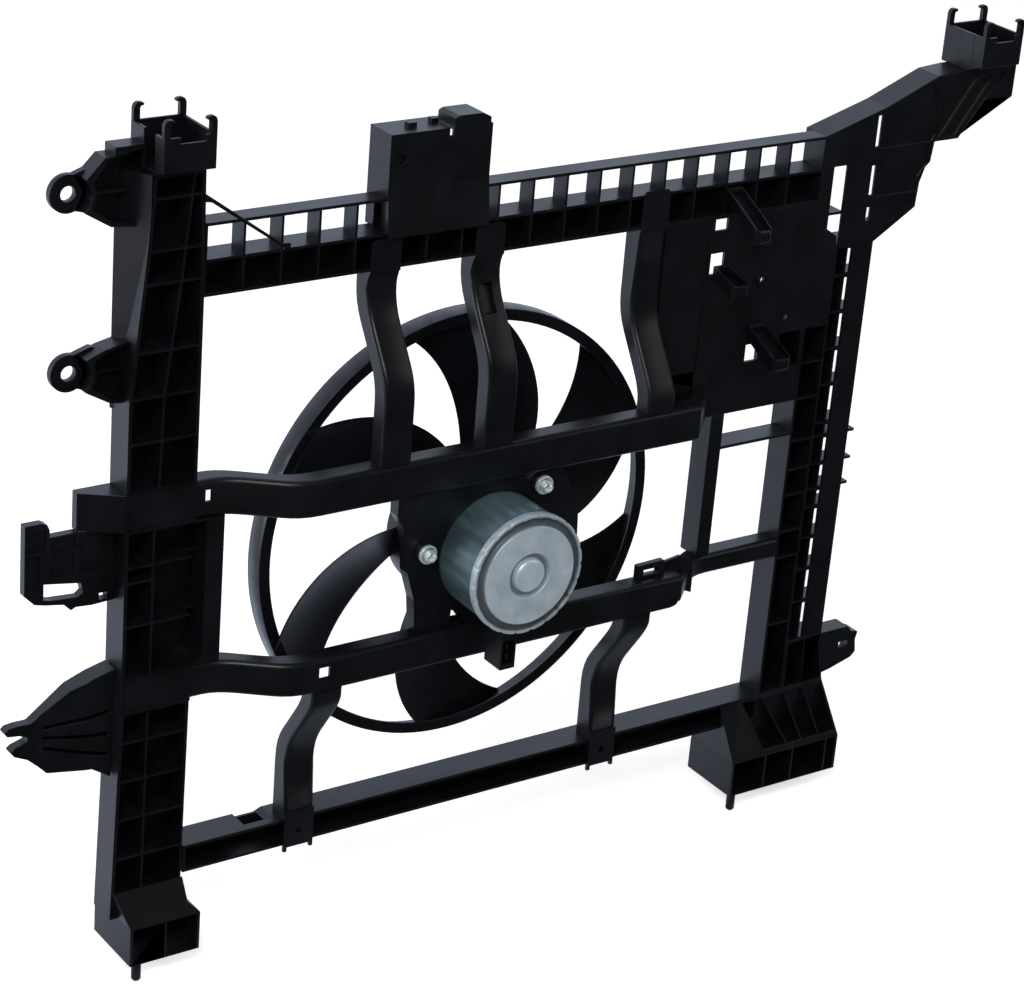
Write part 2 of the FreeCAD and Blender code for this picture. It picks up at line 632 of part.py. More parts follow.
ear("upper_left_ear", -368, 337.7, 373, 309, [(-336, 373), (-336, 366)])
ear("middle_left_ear", -365, 195.9, 222, 168, [])

# Bracket for the wiring connector, behind and left of the upper collar
connector = newBody("connector_bracket")
pad(connector, "XY_Plane", upperBarLow, upperBarTop,
    [[(postLeft, faceY), (postLeft, backY), (-357, backY), (-357, 0)]])
pocket(connector, "XY_Plane", upperBarLow + wall, upperBarTop - wall,
       [[(postLeft - 2, faceY + 6), (postLeft - 2, backY + 2), (-354, backY + 2), (-354, 2)]])
pad(connector, "XZ_Plane", -4, 4, [[
    (-402, 79), (-387, 79), (-383, 77), (-381, 72), (-381, 66), (-357, 66), (-357, upperBarLow),
    (postLeft, upperBarLow), (postLeft, 2), (-345, 1), (-358, 2), (-362, 0), (-368, 6), (-385, 9),
    (-393, 11), (-402, 20)]])
pocket(connector, "XZ_Plane", -4, 4, [
    [(-385.5, 27), (-385.5, 13.5), (-379, 12), (-356, 10.5), (-352, 14), (-354, 22)],
    rectangle(-338, 4, -331, 10)])
pocket(connector, "XZ_Plane", 1.6, 4, [
    rectangle(-379, 52, -359, 63), rectangle(-379, 32, -360, 49), rectangle(-399.5, 55, -384, 72),
    rectangle(-399.5, 24, -389, 52), rectangle(-355, 30, -329, 62)])

# Forked bracket low on the left post, a wedge with narrow grooves that run to its fork
fork = slab("fork_bracket", [
    (-326, -55), (-345, -60), (-363, -67), (-381, -81), (-395, -92), (-407, -92), (-414, -93), (-417, -96),
    (-414, -100), (-404, -101), (-397, -104), (-398, -108), (-408, -111), (-412, -114), (-408, -119),
    (-397, -124), (-388, -132), (-381, -139), (-345, -141), (-328, -152)], -12, backY - 2)
pocket(fork, "XY_Plane", -155, -50, [[(-345, -13), (-420, -13), (-420, -3), (-388, -4)]])
grooves = []
for startZ, endZ, half in ((-92, -98, 1.5), (-112, -107, 1.5), (-130, -116, 1.5)):
    grooves.append([(-331, startZ - half), (-331, startZ + half), (-384, endZ + half), (-384, endZ - half)])
hollow(fork, grooves, -12, 2)

# Small slotted tab low on the right edge
tab = slab("right_tab", [(stripOuter, -180), (436, -180), (441, -186), (449, -188), (447, -196), (449, -209),
                         (444, -214), (420, -221), (410.1, -223)], faceY, -2)
hollow(tab, [[(408, -183), (435, -183), (439, -189), (444, -191), (444, -209), (420, -217), (413, -219)]],
       faceY + 3, -2)
hollow(tab, [rectangle(427, -201, 438, -195)], faceY, -2)

# Hub plate between the crossbars: the ring the motor is screwed to, with an arm to each bar
hubPlate = newBody("motor_ring")
plateFar = plateY + plateDepth
tongue = [(-30, lowerBarTop), (50, lowerBarTop), (44, -68), (30, -75), (-10, -76), (-26, -70)]
pad(hubPlate, "XZ_Plane", front(plateFar), front(plateY), [[
    (-96, upperBarLow), (60, upperBarLow), (70, 54), (78, 36), (85, 15), (86, -6), (80, -30), (68, -50),
    (52, lowerBarTop)] + tongue[1:] + [tongue[0], (-72, lowerBarTop), (-75, -31), (-83, -5), (-84, 15),
                                       (-90, 38), (-96, 48)]])
hollow(hubPlate, [(0, 0, canRadius + 1.2)], plateY, plateFar)
hollow(hubPlate, [[(-37, -48), (-30, -52), (-24, -60.4), (-38, -60.4)]], plateY, plateFar)

# The lower crossbar's top wall is open where the hub plate's tongue and the third screw pass
hollow(lowerBar, [tongue], plateY, plateFar)
hollow(lowerBar, [(lugCircle * math.cos(math.radians(screwAngles[2])),
                   lugCircle * math.sin(math.radians(screwAngles[2])), 10)], webY, plateY)

# Raised lugs of the hub plate, under the three screws
lugHeight = 3
for angle in screwAngles:
    spot = (lugCircle * math.cos(math.radians(angle)), lugCircle * math.sin(math.radians(angle)))
    pad(hubPlate, "XZ_Plane", front(plateY), front(plateY - lugHeight), [(spot[0], spot[1], 9.5)])
    hollow(hubPlate, [(spot[0], spot[1], 2.9)], plateY - lugHeight, plateFar)

# Motor flange: the steel ears behind the hub plate that take the screws
flangeFar = plateFar + 3
flangeRim = 57
motorFlange = slab("motor_flange", (0, 0, flangeRim), plateFar, flangeFar)
earLoops = []
for angle in screwAngles:
    earLoops.append([(radius * math.cos(math.radians(angle + turn)), radius * math.sin(math.radians(angle + turn)))
                     for turn, radius in ((-22, flangeRim - 2), (-8, 76), (8, 76), (22, flangeRim - 2))])
pad(motorFlange, "XZ_Plane", front(flangeFar), front(plateFar), earLoops)
hollow(motorFlange, [(0, 0, canRadius)], plateFar, flangeFar)
for angle in screwAngles:
    hollow(motorFlange, [(lugCircle * math.cos(math.radians(angle)),
                          lugCircle * math.sin(math.radians(angle)), 2.5)], plateFar, flangeFar)

# Motor can: a deep-drawn steel cup with the front bearing's seat pressed into its floor
bossRadius = 13
bearingOuter = 11
canBore = canRadius - canWall
turned("motor_can", [[
    (canRadius, canBackY), (canRadius, canFrontY - 2), (canRadius - 2, canFrontY),
    (bossRadius, canFrontY), (bossRadius, canFrontY + 9), (bearingOuter - 2, canFrontY + 9),
    (bearingOuter - 2, canFrontY + 7), (bearingOuter, canFrontY + 7), (bearingOuter, canFrontY - canWall),
    (canBore - 2, canFrontY - canWall), (canBore, canFrontY - canWall - 2), (canBore, canBackY)]])

# End cap: a rimmed steel disc, rolled over the can, with the rear bearing's dome
domeRadius = 13
seatRadius = 8
turned("motor_end_cap", [[
    (0, capFaceY - 2.5), (domeRadius - 2, capFaceY - 2.5), (domeRadius, capFaceY), (45, capFaceY),
    (47, capFaceY + 1), (50, capFaceY - 0.5), (capRadius, capFaceY + 0.5), (capRadius, capFaceY + 8),
    (canRadius, capFaceY + 8), (canRadius, canBackY), (12, canBackY), (12, canBackY + 3),
    (seatRadius, canBackY + 3), (seatRadius, capFaceY + 1), (0, capFaceY + 1)]])

# Bearings: a sleeve in the end cap's dome and a ball bearing's ring in the can's nose
runningFit = 0.04
turned("rear_bearing", [rectangle(shaftRadius + runningFit, capFaceY + 1.5, seatRadius, canBackY + 3)])
turned("front_bearing", [rectangle(shaftRadius + runningFit, canFrontY, bearingOuter, canFrontY + 7)])

# Magnets: four curved tiles glued inside the can
magnets = turned("magnets", [rectangle(43, -88, canBore, -44)])
magnetGap = 7
pocket(magnets, "XZ_Plane", 30, 100, [
    rectangle(-60, -magnetGap, 60, magnetGap), rectangle(-magnetGap, magnetGap + 1, magnetGap, 60),
    rectangle(-magnetGap, -60, magnetGap, -magnetGap - 1)])

# Armature: shaft, slotted core, windings at both ends, commutator
shaftEnd = 25
coreRadius = 42
coreNear = -84
coreFar = -50
slotCount = 12
commutatorRadius = 14
turned("motor_shaft", [rectangle(0, capFaceY + 2.5, shaftRadius, shaftEnd)])
core = turned("armature_core", [rectangle(shaftRadius, coreNear, coreRadius, coreFar)])
slotLoops = []
for number in range(slotCount):
    bearing = math.radians(number * 360 / slotCount)
    along = (math.cos(bearing), math.sin(bearing))
    across = (-along[1] * 3.2, along[0] * 3.2)
    near, far = 24, coreRadius + 2
    slotLoops.append([(along[0] * near - across[0], along[1] * near - across[1]),
                      (along[0] * far - across[0] / 2, along[1] * far - across[1] / 2),
                      (along[0] * far + across[0] / 2, along[1] * far + across[1] / 2),
                      (along[0] * near + across[0], along[1] * near + across[1])])
pocket(core, "XZ_Plane", front(coreFar), front(coreNear), slotLoops)
for label, near, far in (("rear_windings", coreNear - 5, coreNear), ("front_windings", coreFar, coreFar + 6)):
    turned(label, [rectangle(16, near, 38, far)])
turned("commutator", [rectangle(shaftRadius, canBackY + 3.5, commutatorRadius, coreNear - 5)])

# Brush gear: a moulded ring with two boxes, a brush in each, and a spring behind each brush
brushGap = 0.3
plateRear = canBackY + 0.5
boxNear = canBackY + 2.5
brushPlate = turned("brush_plate", [rectangle(20, plateRear, canBore, boxNear)])
pad(brushPlate, "XZ_Plane", front(boxNear + 8), front(boxNear),
    [rectangle(20.5, -5.5, 35, 5.5), rectangle(-35, -5.5, -20.5, 5.5)])
channel = (boxNear + 1.5, boxNear + 6.5)
pocket(brushPlate, "YZ_Plane", -33, 33,
       [[(channel[0], -3.6), (channel[1], -3.6), (channel[1], 3.6), (channel[0], 3.6)]])
brushes = []
springs = []
for side in (-1, 1):
    near, far = sorted((side * (commutatorRadius + brushGap), side * 27))
    brushes.append(slab("brush", rectangle(near, -3.5, far, 3.5), channel[0] + 0.1, channel[1] - 0.1, False))
    zigzag = [(27, -3), (28, -3), (29.5, 2), (31, -3), (32, -3), (33, 3), (32, 3), (31.4, 0),
              (30, 3), (29, 3), (27.8, -0.5), (27.8, 3), (27, 3)]
    springs.append(slab("spring", [(side * x, z) for x, z in zigzag], channel[0] + 1, channel[1] - 1, False))
group("brushes", brushes)
group("brush_springs", springs)

# Connector socket under the motor, with its two terminals in the slot
socketNear = capFaceY + 8.2
socketFar = -72
slotFloor = -80
socket = slab("connector_socket", rectangle(-16, -88, -1, -49.5), socketNear, socketFar)
hollow(socket, [(0, 0, canRadius)], socketNear, socketFar)
hollow(socket, [rectangle(-14, -84, -3, -62)], socketNear, slotFloor)
terminals = [slab("terminal", rectangle(-8.8, height, -8.2, height + 6), socketNear + 2, slotFloor, False)
             for height in (-81, -71)]
group("connector_terminals", terminals)

# Screws: three flanged screws from the motor side, through the lugs into the flange
screws = []
for angle in screwAngles:
    screw = newBody("screw", False)
    spot = (lugCircle * math.cos(math.radians(angle)), lugCircle * math.sin(math.radians(angle)))
    seatY = plateY - lugHeight
    pad(screw, "XZ_Plane", front(flangeFar + 1), front(seatY), [(spot[0], spot[1], 2.5)])
    pad(screw, "XZ_Plane", front(seatY), front(seatY - 1.6), [(spot[0], spot[1], 8)])
    pad(screw, "XZ_Plane", front(seatY - 1.6), front(seatY - 6), [(spot[0], spot[1], 5)])
    hollow(screw, [(spot[0], spot[1], 2.6)], seatY - 6, seatY - 3)
    screws.append(screw)
group("motor_screws", screws)

# Fan wheel: hub cup, swept blades and an outer ring with a lip at its front
hubSeat = 18
lipThick = 2.5
fanHub = turned("fan_hub", [[
    (hubRadius, -14), (hubRadius, 17), (hubRadius - 3, 20), (12, 20), (9, hubSeat), (shaftRadius, hubSeat),
    (shaftRadius, -8), (9, -8), (9, 17), (hubRadius - 2.6, 17), (hubRadius - 2.6, -14)]])
ribLoops = []
for number in range(bladeCount):
    bearing = math.radians(30 + number * 360 / bladeCount)
    along = (math.cos(bearing), math.sin(bearing))
    side = (-along[1] * rib * 0.5, along[0] * rib * 0.5)
    ribLoops.append([(along[0] * r + s * side[0], along[1] * r + s * side[1])
                     for r, s in ((8, -1), (hubRadius - 1, -1), (hubRadius - 1, 1), (8, 1))])
pad(fanHub, "XZ_Plane", front(hubSeat - 0.5), front(-6), ribLoops)
turned("fan_ring", [[
    (ringLip, 0), (ringRadius, 0), (ringRadius, ringDepth), (ringBore, ringDepth), (ringBore, lipThick),
    (ringLip, lipThick)]])

# Blade sections: radius, bearing of the leading and trailing edge, and the leading edge's Y.
# The trailing edge stays near the ring's back. The blade is swept, wide and set at a slant.
bladeStations = [(56, 42, 83, -12), (90, 52, 90, -12), (122, 60, 95, -10), (152, 71, 102, -6),
                 (182, 83, 110, -1), (196, 88, 114, 2)]
bladeTrailY = 18
bladeThick = 2.4
bladeCamber = 4.5
bladeSteps = 4


def bladeSection(radius, leadBearing, trailBearing, leadY):
    """Corner points of one cambered section, in (y, tangential) about its own middle."""
    half = radius * math.tan(math.radians((trailBearing - leadBearing) / 2))
    upper = []
    lower = []
    for step in range(bladeSteps + 1):
        share = step / bladeSteps
        y = leadY + (bladeTrailY - leadY) * share
        across = -half + 2 * half * share
        bow = bladeCamber * 4 * share * (1 - share)
        body = bladeThick * (0.45 + 2.2 * share * (1 - share))
        upper.append((y + bow + body / 2, across))
        lower.append((y + bow - body / 2, across))
    return upper + lower[::-1]


def blade(turn):
    """One blade: a loft through its sections, trimmed to the hub and to the ring."""
    body = newBody("blade", False)
    sections = []
    for radius, leadBearing, trailBearing, leadY in bladeStations:
        points = bladeSection(radius, leadBearing, trailBearing, leadY)
        sketch = draw(body, "YZ_Plane", 0, [points])
        middle = (leadBearing + trailBearing) / 2 + turn
        swing = FreeCAD.Rotation(vector(1, 0, 0), -middle)
        sketch.AttachmentOffset = FreeCAD.Placement(swing.multVec(vector(0, 0, radius)), swing)
        sections.append(sketch)
    loft = body.newObject("PartDesign::AdditiveLoft", "blade_loft")
    loft.Profile = sections[0]
    loft.Sections = sections[1:]
    loft.Ruled = True
    pocket(body, "XZ_Plane", -40, 40, [(0, 0, hubRadius)])
    pocket(body, "XZ_Plane", -40, 40, [(0, 0, ringBore), (0, 0, 260)])
    pocket(body, "XZ_Plane", -lipThick, 40, [(0, 0, ringLip), (0, 0, 260)])
    return body


group("fan_blades", [blade(number * 360 / bladeCount) for number in range(bladeCount)])

# Retaining nut on the shaft's end, behind the hub
nut = newBody("fan_nut")
nutCorners = [(7.5 * math.cos(math.radians(60 * k)), 7.5 * math.sin(math.radians(60 * k)))
              for k in range(6)]
pad(nut, "XZ_Plane", front(hubSeat + 5), front(hubSeat), [nutCorners])
hollow(nut, [(0, 0, shaftRadius)], hubSeat, hubSeat + 5)

# Check every feature, then write one STEP file for each piece
doc.recompute()
for thing in doc.Objects:
    if "Invalid" in thing.State or "Error" in thing.State:
        raise RuntimeError("%s did not build: %s" % (thing.Label, thing.State))
for feature in cuts:
    if feature.BaseFeature.Shape.Volume - feature.Shape.Volume < 0.5:
        raise RuntimeError("%s removes nothing" % feature.Label)
os.makedirs("parts", exist_ok=True)
for piece in pieces:
    if piece.Shape.isNull() or not piece.Shape.isValid():
        raise RuntimeError("%s has no valid shape" % piece.Label)
    piece.Shape.exportStep("parts/%s.step" % piece.Label)
print("%d pieces written" % len(pieces))
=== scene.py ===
import json
import math

import bmesh
import bpy
import numpy as np
from mathutils import Matrix, Vector


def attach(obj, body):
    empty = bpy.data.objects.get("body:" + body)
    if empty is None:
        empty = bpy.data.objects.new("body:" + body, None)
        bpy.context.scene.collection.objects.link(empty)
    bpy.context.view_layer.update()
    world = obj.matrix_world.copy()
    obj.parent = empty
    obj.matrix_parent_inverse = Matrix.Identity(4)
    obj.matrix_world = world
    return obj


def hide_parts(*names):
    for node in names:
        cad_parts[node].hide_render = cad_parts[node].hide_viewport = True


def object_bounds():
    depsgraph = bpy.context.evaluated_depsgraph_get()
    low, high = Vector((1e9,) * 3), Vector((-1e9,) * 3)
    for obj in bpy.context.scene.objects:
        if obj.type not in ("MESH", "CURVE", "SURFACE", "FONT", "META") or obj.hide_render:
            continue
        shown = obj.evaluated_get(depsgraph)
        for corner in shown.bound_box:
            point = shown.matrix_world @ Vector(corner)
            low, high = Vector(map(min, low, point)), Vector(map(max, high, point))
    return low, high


# Radiator cooling fan, dressed for a studio picture. Metres, in the frame of the solid model.

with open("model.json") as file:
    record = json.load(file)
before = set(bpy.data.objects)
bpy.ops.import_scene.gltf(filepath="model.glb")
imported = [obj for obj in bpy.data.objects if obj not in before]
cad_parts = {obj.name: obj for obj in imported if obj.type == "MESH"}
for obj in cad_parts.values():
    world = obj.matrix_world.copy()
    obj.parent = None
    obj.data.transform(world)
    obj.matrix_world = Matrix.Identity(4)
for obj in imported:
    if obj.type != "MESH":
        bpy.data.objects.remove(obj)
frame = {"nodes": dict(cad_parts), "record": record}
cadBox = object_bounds()
nodes = frame["nodes"]
scene = bpy.context.scene
print("frame loaded:", len(nodes), "nodes")

fanCentre = np.array((0.314, 0.038, 0.316))  # where the fan's axis crosses the ring's front face

# Finishes
plasticLook = {"base": (0.0034, 0.0038, 0.0052), "rough": 0.36, "specular": 0.36, "grain": 950.0,
               "bump": 0.05}
plasticWear = {"mottleScale": 38, "darker": 0.75, "lighter": 1.45, "streakScale": 9,
               "streakStretch": (1, 1, 0.35), "glossier": 0.07, "duller": 0.09, "grainDepth": 0.0006}
metalLook = {"canTint": (0.17, 0.26, 0.30), "capTint": (0.68, 0.80, 0.90), "zincTint": (0.88, 0.98, 0.98)}
metalWear = {"grainScale": 420, "bump": 0.12, "grainDepth": 0.0004, "glossier": 0.06, "duller": 0.07}
capLook = {"span": 0.055,  # a little more than the end cap's radius
           "metallic": 0.5, "scuffScale": 55, "scuffShade": 0.78, "cloudScale": 30, "duller": 0.08,
           # distance from the axis and brightness: dome, moat, disc, groove, rim; the dark moat and groove are
           # painted shade
           "paintedShadeZones": ((0.0, 1.0), (0.0145, 1.0), (0.0152, 0.35), (0.0185, 0.45), (0.0196, 0.95), (0.0428, 1.0),
                     (0.0442, 0.22), (0.0496, 0.15), (0.0506, 0.7), (0.0532, 0.9))}


def newMaterial(name):
    # an empty node tree with an output and a Principled shader
    mat = bpy.data.materials.new(name)
    mat.use_nodes = True
    tree = mat.node_tree
    tree.nodes.clear()
    out = tree.nodes.new("ShaderNodeOutputMaterial")
    shader = tree.nodes.new("ShaderNodeBsdfPrincipled")
    tree.links.new(shader.outputs[0], out.inputs[0])
    return mat, tree, shader


def noiseField(tree, scale, detail, stretch=(1, 1, 1)):
    # noise on Object coordinates, stretched along the axes
    coords = tree.nodes.new("ShaderNodeTexCoord")
    mapping = tree.nodes.new("ShaderNodeMapping")
    mapping.inputs["Scale"].default_value = stretch
    noise = tree.nodes.new("ShaderNodeTexNoise")
    noise.inputs["Scale"].default_value = scale
    noise.inputs["Detail"].default_value = detail
    tree.links.new(coords.outputs["Object"], mapping.inputs["Vector"])
    tree.links.new(mapping.outputs[0], noise.inputs["Vector"])
    return noise.outputs["Fac"]


def spread(tree, field, low, high, fromLow=0.3, fromHigh=0.7):
    # maps a field onto a number range
    node = tree.nodes.new("ShaderNodeMapRange")
    node.inputs["From Min"].default_value = fromLow
    node.inputs["From Max"].default_value = fromHigh
    node.inputs["To Min"].default_value = low
    node.inputs["To Max"].default_value = high
    tree.links.new(field, node.inputs["Value"])
    return node.outputs[0]


def blendColours(tree, field, first, second, fromLow=0.35, fromHigh=0.65):
    # a two-colour ramp along a field
    ramp = tree.nodes.new("ShaderNodeValToRGB")
    ramp.color_ramp.elements[0].position = fromLow
    ramp.color_ramp.elements[0].color = (*first, 1)
    ramp.color_ramp.elements[1].position = fromHigh
    ramp.color_ramp.elements[1].color = (*second, 1)
    tree.links.new(field, ramp.inputs["Fac"])
    return ramp.outputs["Color"]


def addBump(tree, shader, field, strength, distance):
    bump = tree.nodes.new("ShaderNodeBump")
    bump.inputs["Strength"].default_value = strength
    bump.inputs["Distance"].default_value = distance
    tree.links.new(field, bump.inputs["Height"])
    tree.links.new(bump.outputs[0], shader.inputs["Normal"])


def mouldedPlastic(name, base, rough, specular, grain, bump):
    # black glass-filled plastic: faint mottling, a fine grain and uneven gloss
    mat, tree, shader = newMaterial(name)
    mottle = noiseField(tree, plasticWear["mottleScale"], 5)
    darker = tuple(c * plasticWear["darker"] for c in base)
    lighter = tuple(c * plasticWear["lighter"] for c in base)
    tree.links.new(blendColours(tree, mottle, darker, lighter), shader.inputs["Base Color"])
    streaks = noiseField(tree, plasticWear["streakScale"], 6, plasticWear["streakStretch"])
    gloss = spread(tree, streaks, rough - plasticWear["glossier"], rough + plasticWear["duller"])
    tree.links.new(gloss, shader.inputs["Roughness"])
    shader.inputs["Specular IOR Level"].default_value = specular
    addBump(tree, shader, noiseField(tree, grain, 3), bump, plasticWear["grainDepth"])
    return mat


def sheetMetal(name, tint, rough, stretch, scale, contrast, metallic=1.0):
    # zinc-coated steel: a cloudy spangle in colour and gloss
    mat, tree, shader = newMaterial(name)
    cloud = noiseField(tree, scale, 4, stretch)
    darker = tuple(c * (1 - contrast) for c in tint)
    tree.links.new(blendColours(tree, cloud, darker, tint), shader.inputs["Base Color"])
    gloss = spread(tree, cloud, rough + metalWear["duller"], rough - metalWear["glossier"])
    tree.links.new(gloss, shader.inputs["Roughness"])
    shader.inputs["Metallic"].default_value = metallic
    grain = noiseField(tree, metalWear["grainScale"], 3, stretch)
    addBump(tree, shader, grain, metalWear["bump"], metalWear["grainDepth"])
    return mat


def rolledSteel(name, tint, rough):
    # the end cap's sheet: pale disc, a groove and a moat darkened with painted shade, and a bright rim, told
    # apart by the distance from the axis
    mat, tree, shader = newMaterial(name)
    coords = tree.nodes.new("ShaderNodeTexCoord")
    fromAxis = tree.nodes.new("ShaderNodeVectorMath")
    fromAxis.operation = "SUBTRACT"
    fromAxis.inputs[1].default_value = tuple(fanCentre)
    flatten = tree.nodes.new("ShaderNodeVectorMath")
    flatten.operation = "MULTIPLY"
    flatten.inputs[1].default_value = (1, 0, 1)
    radius = tree.nodes.new("ShaderNodeVectorMath")
    radius.operation = "LENGTH"
    tree.links.new(coords.outputs["Object"], fromAxis.inputs[0])
    tree.links.new(fromAxis.outputs[0], flatten.inputs[0])
    tree.links.new(flatten.outputs[0], radius.inputs[0])
    # painted shade: the colour darkens in the moat and the groove, by distance from the axis
    paintedShadeZones = tree.nodes.new("ShaderNodeValToRGB")
    for number, (distance, shade) in enumerate(capLook["paintedShadeZones"]):
        place = distance / capLook["span"]
        stop = paintedShadeZones.color_ramp.elements[number] if number < 2 else paintedShadeZones.color_ramp.elements.new(place)
        stop.position = place
        stop.color = (shade, shade, shade, 1)
    tree.links.new(spread(tree, radius.outputs["Value"], 0, 1, 0, capLook["span"]), paintedShadeZones.inputs["Fac"])
    worn = tuple(c * capLook["scuffShade"] for c in tint)
    scuffs = blendColours(tree, noiseField(tree, capLook["scuffScale"], 5), worn, tint)
    tinted = tree.nodes.new("ShaderNodeMix")
    tinted.data_type = "RGBA"
    tinted.blend_type = "MULTIPLY"
    tinted.inputs["Factor"].default_value = 1
    tree.links.new(scuffs, tinted.inputs["A"])
    tree.links.new(paintedShadeZones.outputs["Color"], tinted.inputs["B"])
    tree.links.new(tinted.outputs["Result"], shader.inputs["Base Color"])
    shader.inputs["Metallic"].default_value = capLook["metallic"]
    cloud = noiseField(tree, capLook["cloudScale"], 4)
    gloss = spread(tree, cloud, rough + capLook["duller"], rough - metalWear["glossier"])
    tree.links.new(gloss, shader.inputs["Roughness"])
    grain = noiseField(tree, metalWear["grainScale"], 3)
    addBump(tree, shader, grain, metalWear["bump"], metalWear["grainDepth"])
    return mat


fanLook = {**plasticLook, "base": (0.0032, 0.0034, 0.0052), "rough": 0.33}
finishes = {
    "carrier_plastic": mouldedPlastic("carrierPlastic", **plasticLook),
    "fan_plastic": mouldedPlastic("fanPlastic", **fanLook),
    "connector_plastic": mouldedPlastic("connectorPlastic", **{**plasticLook, "rough": 0.45}),
    "galvanised_can": sheetMetal("galvanisedCan", metalLook["canTint"], 0.36, (1, 0.2, 1), 34, 0.62, 0.6),
    "end_cap_steel": rolledSteel("endCapSteel", metalLook["capTint"], 0.4),
    "zinc_steel": sheetMetal("zincSteel", metalLook["zincTint"], 0.24, (1, 1, 1), 200, 0.2, 0.6),
    "bright_steel": sheetMetal("brightSteel", (0.66, 0.67, 0.69), 0.22, (1, 0.2, 1), 120, 0.1),
    "core_steel": sheetMetal("coreSteel", (0.26, 0.26, 0.28), 0.42, (0.2, 6, 0.2), 400, 0.3),
    "copper_wire": sheetMetal("copperWire", (0.62, 0.27, 0.11), 0.35, (1, 1, 1), 700, 0.35),
    "copper_bar": sheetMetal("copperBar", (0.78, 0.42, 0.24), 0.28, (1, 1, 1), 300, 0.2),
    "ferrite": mouldedPlastic("ferrite", (0.05, 0.05, 0.055), 0.5, 0.4, 1200.0, 0.1),
    "brush_board": mouldedPlastic("brushBoard", (0.2, 0.1, 0.04), 0.55, 0.4, 900.0, 0.1),
    "carbon": mouldedPlastic("carbonBrush", (0.02, 0.02, 0.021), 0.6, 0.3, 1500.0, 0.15),
    "spring_steel": sheetMetal("springSteel", (0.55, 0.55, 0.57), 0.25, (1, 1, 1), 300, 0.1),
    "bronze": sheetMetal("sinteredBronze", (0.5, 0.34, 0.17), 0.45, (1, 1, 1), 900, 0.3),
}
print("finishes made:", len(finishes))

# Solid nodes
# every node of the solid model gets its finish and softened edges; facets of one flat face are joined first
edgeLook = {"width": 0.0008, "segments": 2, "angle": 32, "flat": 0.5, "weld": 0.000005}
slotOf = {entry["node"]: entry["material_slot"] for entry in frame["record"]["subparts"]}
for name, node in nodes.items():
    node.data.materials.clear()
    node.data.materials.append(finishes[slotOf[name]])
    weld = node.modifiers.new("joinCorners", "WELD")
    weld.merge_threshold = edgeLook["weld"]
    flat = node.modifiers.new("wholeFaces", "DECIMATE")
    flat.decimate_type = "DISSOLVE"
    flat.angle_limit = math.radians(edgeLook["flat"])
    bevel = node.modifiers.new("softEdges", "BEVEL")
    bevel.limit_method = "ANGLE"
    bevel.angle_limit = math.radians(edgeLook["angle"])
    bevel.width = edgeLook["width"]
    bevel.segments = edgeLook["segments"]
    bevel.use_clamp_overlap = True
    bevel.harden_normals = True
print("solid nodes finished")

# Pieces of the motor and the fan wheel
# a point at radius r and bearing t about the fan's axis is (r cos t, depth, r sin t), in millimetres from the
# fan's centre, with depths growing to the back
millimetre = 0.001
sameCorner = 0.0000005  # points nearer to each other than this are one


def rounded(outline, reach, steps=5):
    # closed outline with each corner c eased by (1-u)^2 a + 2u(1-u) c + u^2 b, a and b lying reach away from
    # c along its sides, but never past the longest share of a side
    longestShare = 0.45
    corners = np.array(outline, float)
    toPrevious = np.roll(corners, 1, axis=0) - corners
    toNext = np.roll(corners, -1, axis=0) - corners
    u = np.linspace(0, 1, steps)[None, :, None]
    ends = []
    for side in (toPrevious, toNext):
        length = np.linalg.norm(side, axis=1, keepdims=True)
        ends.append(corners + side / length * np.minimum(reach, longestShare * length))
    a, b = ends[0][:, None], ends[1][:, None]
    return ((1 - u) ** 2 * a + 2 * u * (1 - u) * corners[:, None] + u ** 2 * b).reshape(-1, 2)


def onAxis(profile, nearest):
    # moves the points of a profile that lie nearer than that to the axis onto it
    return np.where(np.abs(profile[:, :1]) < nearest, profile * (0, 1), profile)


def skin(name, grids, closed, body, slot, replaced, crease=40):
    # joins grids of (along, around, xyz) points into one piece; an open grid is capped at both ends
    points, faces, start = [], [], 0
    for grid in grids:
        rows, columns = grid.shape[:2]
        index = start + np.arange(rows * columns).reshape(rows, columns)
        last = rows if closed else rows - 1
        here = index[:last]
        ahead = np.roll(index, -1, axis=0)[:last]
        quads = np.stack((here, ahead, np.roll(ahead, -1, axis=1), np.roll(here, -1, axis=1)), axis=-1)
        faces += quads.reshape(-1, 4).tolist()
        if not closed:
            faces += [index[0].tolist(), index[-1][::-1].tolist()]
        points.append(grid.reshape(-1, 3))
        start += rows * columns
    mesh = bpy.data.meshes.new(name)
    mesh.from_pydata((fanCentre + np.concatenate(points) * millimetre).tolist(), [], faces)
    shape = bmesh.new()
    shape.from_mesh(mesh)
    bmesh.ops.remove_doubles(shape, verts=shape.verts, dist=sameCorner)
    bmesh.ops.recalc_face_normals(shape, faces=shape.faces)
    shape.to_mesh(mesh)
    shape.free()
    mesh.polygons.foreach_set("use_smooth", np.ones(len(mesh.polygons), bool))
    mesh.set_sharp_from_angle(angle=math.radians(crease))
    mesh.materials.append(finishes[slot])
    piece = bpy.data.objects.new(name, mesh)
    scene.collection.objects.link(piece)
    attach(piece, body)
    if replaced:
        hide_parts(replaced)


def spun(profile, bearings, middle=(0, 0), growth=None):
    # a closed profile of (radius, depth) turned about an axis at middle; growth scales radii by bearing
    radius, depth = profile[:, 0], profile[:, 1]
    reachOut = radius[None] * (1 if growth is None else growth(bearings[:, None], radius[None], depth[None]))
    return np.stack((middle[0] + reachOut * np.cos(bearings)[:, None],
                     np.broadcast_to(depth, reachOut.shape),
                     middle[1] + reachOut * np.sin(bearings)[:, None]), axis=-1)


def bearingSteps(count):
    return np.arange(count) * 2 * math.pi / count


